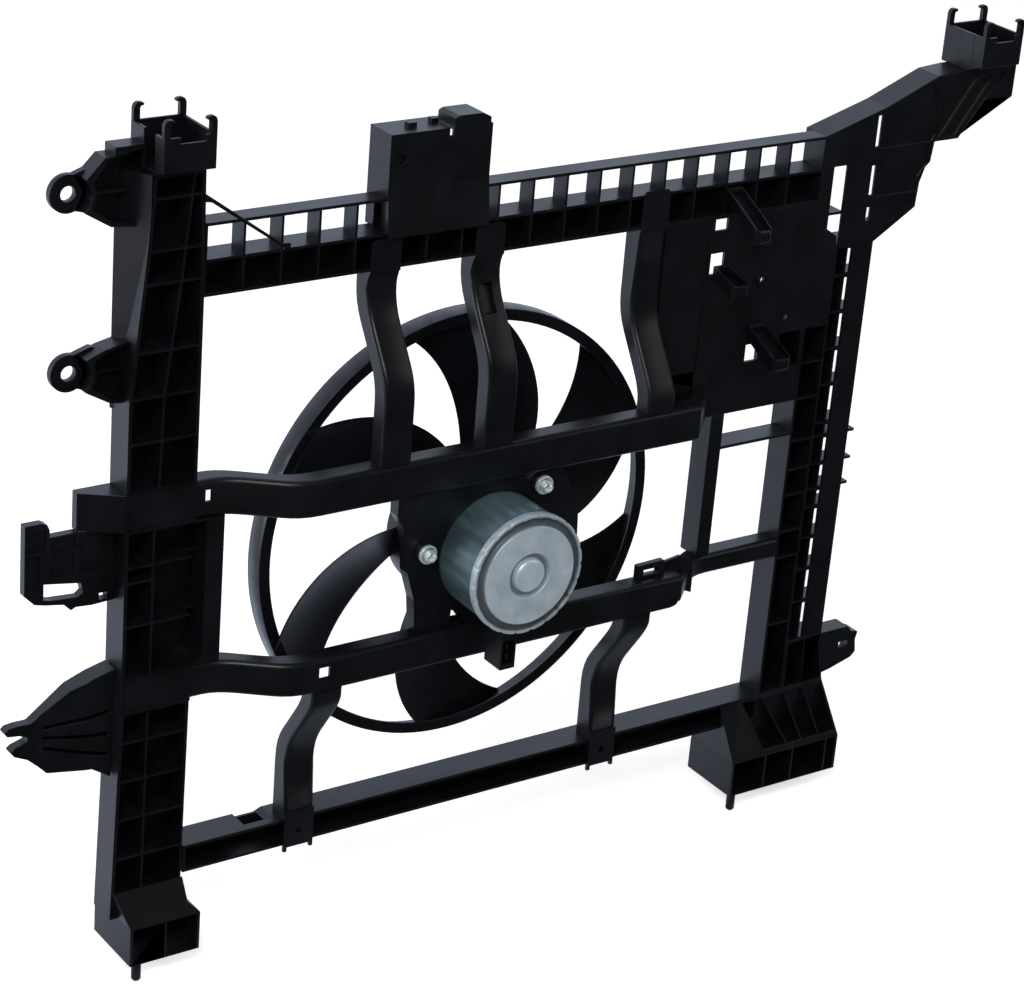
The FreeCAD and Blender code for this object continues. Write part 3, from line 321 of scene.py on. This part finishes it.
# Fan blades
# share s = (1 - cos f) / 2 runs from the leading edge to the trailing edge and back as f goes once round;
# bearing = lead + (trail - lead) s;
# depth = leadDepth + (trailDepth - leadDepth) s + 4 camber s (1 - s) + side;
# side = half thickness * sign(sin f) |sin f|^fullness. The edges follow cubics fitted to the stations.
wheel = {"count": 6, "inner": 60.6, "outer": 191.4, "trailDepth": 18, "camber": 4.5, "halfThickness": 1.15,
         "fullness": 0.5, "rows": 36, "around": 44}
# radius, bearings of the leading and trailing edges in degrees, and the leading edge's depth
bladeStations = np.array(((56, 42, 83, -12), (90, 52, 90, -12), (122, 60, 95, -10),
                          (152, 71, 102, -6), (182, 83, 110, -1), (196, 88, 114, 2)), float)


def bladeGrid(turn):
    # the stations are flat sections, so their edges lie further out than their middles
    halfAngle = np.radians(bladeStations[:, 2] - bladeStations[:, 1]) / 2
    edgeRadius = bladeStations[:, 0] / np.cos(halfAngle)
    radii = np.linspace(wheel["inner"], wheel["outer"], wheel["rows"])[:, None]
    lead, trail, leadDepth = (np.polyval(np.polyfit(edgeRadius, bladeStations[:, column], 3), radii)
                              for column in (1, 2, 3))
    turnAround = bearingSteps(wheel["around"])[None]
    share = (1 - np.cos(turnAround)) / 2
    swing = np.sin(turnAround)
    bearing = np.radians(lead + (trail - lead) * share + turn)
    depth = (leadDepth + (wheel["trailDepth"] - leadDepth) * share + 4 * wheel["camber"] * share * (1 - share)
             + wheel["halfThickness"] * np.sign(swing) * np.abs(swing) ** wheel["fullness"])
    return np.stack((radii * np.cos(bearing), depth, radii * np.sin(bearing)), axis=-1)


skin("swept_blades", [bladeGrid(number * 360 / wheel["count"]) for number in range(wheel["count"])],
     False, "fan_wheel", "fan_plastic", "fan_blades", 50)

# Motor end cap
# a rolled rim with crimp dents, a groove, a raised disc, and the bearing's dome in a moat
capForm = {"dome": -106.5, "moat": -101.4, "disc": -104.8, "groove": -100.4, "back": -100.1, "skirt": -96,
           "rim": 53.2, "ease": 0.9, "axis": 0.95, "around": 288,
           "dents": 22, "dentDepth": 0.024, "narrowness": 24, "dentFrom": 49.5, "dentBehind": -99}
# radius and depth, from the dome's middle over the rim and back inside
capProfile = rounded([(0, capForm["dome"]), (12.6, capForm["dome"]), (14.5, capForm["dome"] + 1.6),
                      (14.5, capForm["moat"]), (19.3, capForm["moat"]), (19.6, capForm["disc"]),
                      (43.4, capForm["disc"]), (44.4, capForm["groove"]), (49.6, capForm["groove"]),
                      (50.2, -102.9), (capForm["rim"], -102.6), (capForm["rim"], capForm["skirt"]),
                      (51.5, capForm["skirt"]), (51.5, capForm["back"]), (0, capForm["back"])],
                     capForm["ease"])


def crimp(bearing, radius, depth):
    # narrow dents round the rim: 1 - dentDepth cos(n t / 2)^narrowness beyond the groove, ahead of the skirt
    onRim = (radius > capForm["dentFrom"]) & (depth < capForm["dentBehind"])
    return 1 - capForm["dentDepth"] * onRim * np.cos(bearing * capForm["dents"] / 2) ** capForm["narrowness"]


capGrid = spun(onAxis(capProfile, capForm["axis"]), bearingSteps(capForm["around"]), growth=crimp)
skin("rolled_end_cap", [capGrid], True, "carrier", "end_cap_steel", "motor_end_cap", 35)

# Motor screws
# a washer face under a chamfered hexagon with a hollow top
screwForm = {"circle": 68, "bearings": (171, 50, 291), "seat": -53, "washer": 8.2, "hexFlat": 4.8,
             "tip": -61.2, "hollow": -58.6, "foot": -53.3, "shank": 2.5, "end": -34, "ease": 0.35,
             "axis": 0.37, "around": 72, "headTurn": 0.2, "headReach": 0.4, "headBehind": -54.1}
# radius and depth, from the hollow's middle over the head and washer to the shank's end
screwProfile = rounded([(0, screwForm["hollow"]), (2.2, screwForm["hollow"]), (3.0, screwForm["tip"]),
                        (4.3, screwForm["tip"]), (screwForm["hexFlat"], -60.4),
                        (screwForm["hexFlat"], screwForm["foot"]), (6.4, screwForm["foot"]), (6.6, -56.2),
                        (screwForm["washer"], -55.8), (screwForm["washer"], screwForm["seat"]),
                        (screwForm["shank"], screwForm["seat"]), (screwForm["shank"], screwForm["end"]),
                        (0, screwForm["end"])], screwForm["ease"], 4)


def hexagon(bearing, radius, depth):
    # the head's radius is its flat's distance / cos(the bearing from the flat's middle)
    side = math.pi / 3
    fromFlat = (bearing + screwForm["headTurn"]) % side - side / 2
    nearFlat = np.abs(radius - screwForm["hexFlat"]) < screwForm["headReach"]
    onHead = nearFlat & (depth < screwForm["headBehind"])
    return 1 + onHead * (1 / np.cos(fromFlat) - 1)


def screwPlace(angle):
    bearing = math.radians(angle)
    return screwForm["circle"] * math.cos(bearing), screwForm["circle"] * math.sin(bearing)


screwProfile = onAxis(screwProfile, screwForm["axis"])
screwGrids = [spun(screwProfile, bearingSteps(screwForm["around"]), screwPlace(angle), hexagon)
              for angle in screwForm["bearings"]]
skin("hex_screws", screwGrids, True, "carrier", "zinc_steel", "motor_screws", 30)
print("motor and fan wheel pieces made")

# Bars and spokes
# each is a merged copy of its solid, with the long outer edges of its front rounded as the moulding's are
barLook = {"round": 0.0042, "segments": 4, "shortest": 0.002, "level": 0.0001, "crease": 28}
barDepths = {"rails": -0.0203, "front": -0.057}  # just ahead of the rails' front face; the bars' own front face
alongX, alongZ = 0, 2


def softened(nodeName, across):
    # rounds the convex edges between the front and the two sides that look along the across axis; of the flat
    # faces ahead of the rails, only those at the bars' front are rounded
    solid = nodes[nodeName].data
    corners = np.empty(3 * len(solid.vertices), np.float32)
    solid.vertices.foreach_get("co", corners)
    low, high = corners[across::3].min(), corners[across::3].max()
    shape = bmesh.new()
    shape.from_mesh(solid)
    bmesh.ops.remove_doubles(shape, verts=shape.verts, dist=edgeLook["weld"])
    bmesh.ops.dissolve_limit(shape, angle_limit=math.radians(edgeLook["flat"]), verts=shape.verts,
                             edges=shape.edges)
    chosen = []
    for edge in shape.edges:
        if len(edge.link_faces) != 2 or not edge.is_convex or edge.calc_length() < barLook["shortest"]:
            continue
        ends = [vert.co[across] for vert in edge.verts]
        level = max(ends) - min(ends) < barLook["level"]
        outer = min(abs(ends[0] - low), abs(ends[0] - high)) < barLook["level"]
        face = sorted(edge.link_faces, key=lambda side: -abs(side.normal[across]))[1].normal
        looksAhead = face[1] < -0.3 and abs(face[across]) < 0.05
        depths = [vert.co[1] - fanCentre[1] for vert in edge.verts]
        proud = min(depths) < barDepths["rails"]
        stepped = abs(face[1] + 1) < 0.001 and abs(depths[0] - barDepths["front"]) > 0.001
        if level and outer and looksAhead and not (proud and stepped):
            chosen.append(edge)
    bmesh.ops.bevel(shape, geom=chosen, offset=barLook["round"], segments=barLook["segments"], profile=0.5,
                    affect="EDGES", clamp_overlap=False)
    bmesh.ops.recalc_face_normals(shape, faces=shape.faces)
    mesh = bpy.data.meshes.new("rounded_" + nodeName)
    shape.to_mesh(mesh)
    shape.free()
    mesh.polygons.foreach_set("use_smooth", np.ones(len(mesh.polygons), bool))
    mesh.set_sharp_from_angle(angle=math.radians(barLook["crease"]))
    mesh.materials.append(finishes[slotOf[nodeName]])
    piece = bpy.data.objects.new("rounded_" + nodeName, mesh)
    scene.collection.objects.link(piece)
    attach(piece, "carrier")
    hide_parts(nodeName)
    print(nodeName, "edges rounded:", len(chosen))


for spokeName in ("upper_spoke_left", "upper_spoke_middle", "upper_spoke_right", "lower_spoke_left",
                  "lower_spoke_right"):
    softened(spokeName, alongX)
for barName in ("upper_crossbar", "lower_crossbar", "lower_tie", "upper_bracket"):
    softened(barName, alongZ)
print("bars and spokes rounded")

# Floors of blind openings, webs between members, and the roots of the spokes under the crossbars' round edges
# corners are in millimetres from the fan's centre; slant moves a floor's lower edge towards the motor side
floors = {
    # name: (left, front, bottom), (right, back, top), slant
    "spoke_window_floor": ((-17.4, -12, 196), (7.4, -10.6, 232), -19),
    "latch_hole_floor": ((-101, -18, 333), (-89, -17, 345), 0),
    "plate_lower_corner": ((173, -20, 66), (217, -17, 113), 0),
    "right_tower_side": ((486, -24, 354.6), (488.6, -7, 385), 0),
}
webs = {
    # name: the two depths, then the web's outline as (x, z)
    "upper_ear_web": ((2, 8), ((-364, 352.1), (-350, 357), (-340, 358), (-340, 318), (-362, 323.8),
                               (-356, 338))),
    "middle_ear_web": ((2, 8), ((-361, 210.3), (-347, 215), (-340, 213), (-340, 177), (-358, 182.6),
                                (-353, 196))),
    "tie_end_plate": ((-37, -34), ((190, -57), (211, -54), (225, -64), (227, -80), (227, -93), (217, -88.6),
                                   (208.7, -83.4), (199.7, -73.3))),
}
spokeLefts = {"upper": (-118, -20, 144), "lower": (-170, 142)}
spokeRoots = {"upper": (94, 97.4), "lower": (-93.4, -90.6)}  # heights, under the crossbars' rounded edges
rootForm = {"inset": 1, "width": 28, "front": -55.6, "back": -50}


def stretched(loop, ends):
    # the grid of a solid between two copies of a closed loop; ends holds each copy's shift
    return np.array(loop, float)[None] + np.array(ends, float)[:, None]


def boxGrid(left, right, near, back, bottom, top, slant=0):
    loop = ((0, near + slant, bottom), (0, back + slant, bottom), (0, back, top), (0, near, top))
    return stretched(loop, ((left, 0, 0), (right, 0, 0)))


for name, ((left, near, bottom), (right, back, top), slant) in floors.items():
    grid = boxGrid(left, right, near, back, bottom, top, slant)
    skin(name, [grid], False, "carrier", "carrier_plastic", None)
for name, (depths, outline) in webs.items():
    grid = stretched([(x, 0, z) for x, z in outline], [(0, depth, 0) for depth in depths])
    skin(name, [grid], False, "carrier", "carrier_plastic", None)
roots = [boxGrid(left + rootForm["inset"], left + rootForm["width"] - rootForm["inset"], rootForm["front"],
                 rootForm["back"], *spokeRoots[row])
         for row, lefts in spokeLefts.items() for left in lefts]
skin("spoke_roots", roots, False, "carrier", "carrier_plastic", None)
print("floors, webs and roots made:", len(floors) + len(webs) + len(roots))

# Studio
# gloss sees light of strength rear behind the object and front ahead of it, blended over the bands
studio = {"floorDrop": 0.0005, "floorSize": 9.0, "paper": 0.9, "paperGlow": 0.62, "ambient": 0.34,
          "rear": 1.05, "front": 0.05, "floorBand": (-0.1, 0.16), "skyBand": (-0.2, 0.45),
          "tint": (0.80, 0.90, 1.12)}
lamps = (
    # name, place, aim, width, height, power
    ("keySoftbox", (-1.5, -1.9, 2.7), (0.3, 0.0, 0.4), 1.4, 1.4, 62),
    ("leftSoftbox", (-2.6, 0.9, 0.9), (0.1, 0.0, 0.35), 1.4, 1.8, 40),
    ("rightFill", (2.6, -1.8, 1.6), (0.4, 0.0, 0.3), 1.4, 1.4, 8),
)


def aimed(place, target):
    # a matrix that stands at place and looks along -Z at target
    direction = Vector(target) - Vector(place)
    return Matrix.Translation(place) @ direction.to_track_quat("-Z", "Y").to_matrix().to_4x4()


floorMesh = bpy.data.meshes.new("floor")
half = studio["floorSize"]
floorLevel = cadBox[0][2] - studio["floorDrop"]
floorMesh.from_pydata([(-half, -half, floorLevel), (half, -half, floorLevel),
                       (half, half, floorLevel), (-half, half, floorLevel)], [], [(0, 1, 2, 3)])
floor = bpy.data.objects.new("floor", floorMesh)
scene.collection.objects.link(floor)
paper = bpy.data.materials.new("studioPaper")
paper.use_nodes = True
paperTree = paper.node_tree
paperTree.nodes.clear()
paperOut = paperTree.nodes.new("ShaderNodeOutputMaterial")
paperDiffuse = paperTree.nodes.new("ShaderNodeBsdfDiffuse")
paperDiffuse.inputs["Color"].default_value = (*[studio["paper"]] * 3, 1)
paperGlow = paperTree.nodes.new("ShaderNodeEmission")
paperSum = paperTree.nodes.new("ShaderNodeAddShader")
paperPath = paperTree.nodes.new("ShaderNodeLightPath")
paperLift = paperTree.nodes.new("ShaderNodeMath")
paperLift.operation = "MULTIPLY"
paperLift.inputs[1].default_value = studio["paperGlow"]
paperTree.links.new(paperPath.outputs["Is Camera Ray"], paperLift.inputs[0])
paperTree.links.new(paperLift.outputs[0], paperGlow.inputs["Strength"])
paperTree.links.new(paperDiffuse.outputs[0], paperSum.inputs[0])
paperTree.links.new(paperGlow.outputs[0], paperSum.inputs[1])
# gloss sees the floor as a strip of light behind the object and as dark cloth in front of it
paperPlace = paperTree.nodes.new("ShaderNodeTexCoord")
paperAxes = paperTree.nodes.new("ShaderNodeSeparateXYZ")
paperTree.links.new(paperPlace.outputs["Object"], paperAxes.inputs[0])
paperRear = spread(paperTree, paperAxes.outputs["Y"], studio["front"], studio["rear"], *studio["floorBand"])
paperSheen = paperTree.nodes.new("ShaderNodeEmission")
paperSheen.inputs["Color"].default_value = (*studio["tint"], 1)
paperTree.links.new(paperRear, paperSheen.inputs["Strength"])
paperMix = paperTree.nodes.new("ShaderNodeMixShader")
paperTree.links.new(paperPath.outputs["Is Glossy Ray"], paperMix.inputs[0])
paperTree.links.new(paperSum.outputs[0], paperMix.inputs[1])
paperTree.links.new(paperSheen.outputs[0], paperMix.inputs[2])
paperTree.links.new(paperMix.outputs[0], paperOut.inputs[0])
floorMesh.materials.append(paper)

# white backdrop for the camera; gloss sees it bright behind the object and dim in front of it
world = bpy.data.worlds.new("studio")
scene.world = world
world.use_nodes = True
sky = world.node_tree
sky.nodes.clear()
skyOut = sky.nodes.new("ShaderNodeOutputWorld")
skyLight = sky.nodes.new("ShaderNodeBackground")
skyPath = sky.nodes.new("ShaderNodeLightPath")
skyCoords = sky.nodes.new("ShaderNodeTexCoord")
skyAxes = sky.nodes.new("ShaderNodeSeparateXYZ")
sky.links.new(skyCoords.outputs["Generated"], skyAxes.inputs[0])
rear = spread(sky, skyAxes.outputs["Y"], studio["front"], studio["rear"], *studio["skyBand"])
gloss = sky.nodes.new("ShaderNodeMath")
gloss.operation = "MAXIMUM"
sky.links.new(skyPath.outputs["Is Glossy Ray"], gloss.inputs[0])
sky.links.new(skyPath.outputs["Is Transmission Ray"], gloss.inputs[1])
glossMix = sky.nodes.new("ShaderNodeMix")
glossMix.inputs["A"].default_value = studio["ambient"]
sky.links.new(gloss.outputs[0], glossMix.inputs["Factor"])
sky.links.new(rear, glossMix.inputs["B"])
cameraMix = sky.nodes.new("ShaderNodeMix")
cameraMix.inputs["B"].default_value = 1.0
sky.links.new(skyPath.outputs["Is Camera Ray"], cameraMix.inputs["Factor"])
sky.links.new(glossMix.outputs[0], cameraMix.inputs["A"])
sky.links.new(cameraMix.outputs[0], skyLight.inputs["Strength"])
skyTint = sky.nodes.new("ShaderNodeMix")
skyTint.data_type = "RGBA"
skyTint.inputs["A"].default_value = (1, 1, 1, 1)
skyTint.inputs["B"].default_value = (*studio["tint"], 1)
sky.links.new(gloss.outputs[0], skyTint.inputs["Factor"])
sky.links.new(skyTint.outputs["Result"], skyLight.inputs["Color"])
sky.links.new(skyLight.outputs[0], skyOut.inputs[0])

for name, place, target, width, height, power in lamps:
    light = bpy.data.lights.new(name, "AREA")
    light.shape = "RECTANGLE"
    light.size = width
    light.size_y = height
    light.energy = power
    lamp = bpy.data.objects.new(name, light)
    scene.collection.objects.link(lamp)
    lamp.matrix_world = aimed(place, target)

# camera solved from the carrier's straight edges; rows are right, up and back
view = {"focal": 107.08, "sensor": 36.0, "farthest": 50.0, "place": (-1.0126, -1.8607, 1.3863),
        "right": (0.8267, -0.55738, 0.07678), "up": (0.17073, 0.37854, 0.9097),
        "back": (-0.53611, -0.73894, 0.4081)}
lens = bpy.data.cameras.new("studioCamera")
lens.sensor_fit = "HORIZONTAL"
lens.sensor_width = view["sensor"]
lens.lens = view["focal"]
lens.clip_end = view["farthest"]
camera = bpy.data.objects.new("studioCamera", lens)
scene.collection.objects.link(camera)
turn = Matrix((view["right"], view["up"], view["back"])).transposed().to_4x4()
camera.matrix_world = Matrix.Translation(view["place"]) @ turn
scene.camera = camera
scene.view_settings.view_transform = "Standard"
print("studio ready")
